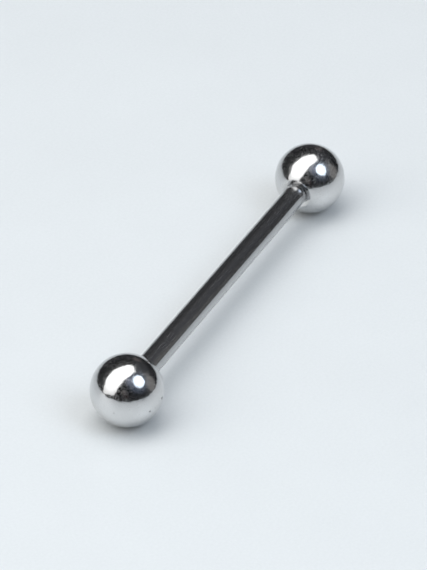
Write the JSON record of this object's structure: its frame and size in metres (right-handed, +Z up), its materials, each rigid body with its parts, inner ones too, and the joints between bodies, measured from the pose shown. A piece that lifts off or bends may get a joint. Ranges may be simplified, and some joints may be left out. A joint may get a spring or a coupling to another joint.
{
  "type": "tongue barbell",
  "caption": "Straight polished steel body-jewellery bar with a screw-on ball at each end, lying on its balls.",
  "frame": {"origin": "on the surface that the barbell lies on, below the middle of the bar", "axes": "+X along the bar from the left ball to the right ball, +Z up from the surface"},
  "size_m": [0.0338, 0.005, 0.005],
  "materials": {
    "bar_steel": "polished surgical steel with faint lengthwise polishing lines; the thread at each end is bare machined steel",
    "ball_steel": "mirror-polished surgical steel with a few tiny pits and hairline marks"
  },
  "bodies": {
    "bar": {"bar": "bar_steel"},
    "left_ball": {"left_ball": "ball_steel"},
    "right_ball": {"right_ball": "ball_steel"}
  },
  "joints": [
    {"name": "left_ball_unscrew", "type": "slide", "parent": "bar", "child": "left_ball", "axis": [-1, 0, 0], "range_m": [0, 0.004]},
    {"name": "right_ball_unscrew", "type": "slide", "parent": "bar", "child": "right_ball", "axis": [1, 0, 0], "range_m": [0, 0.004]}
  ]
}
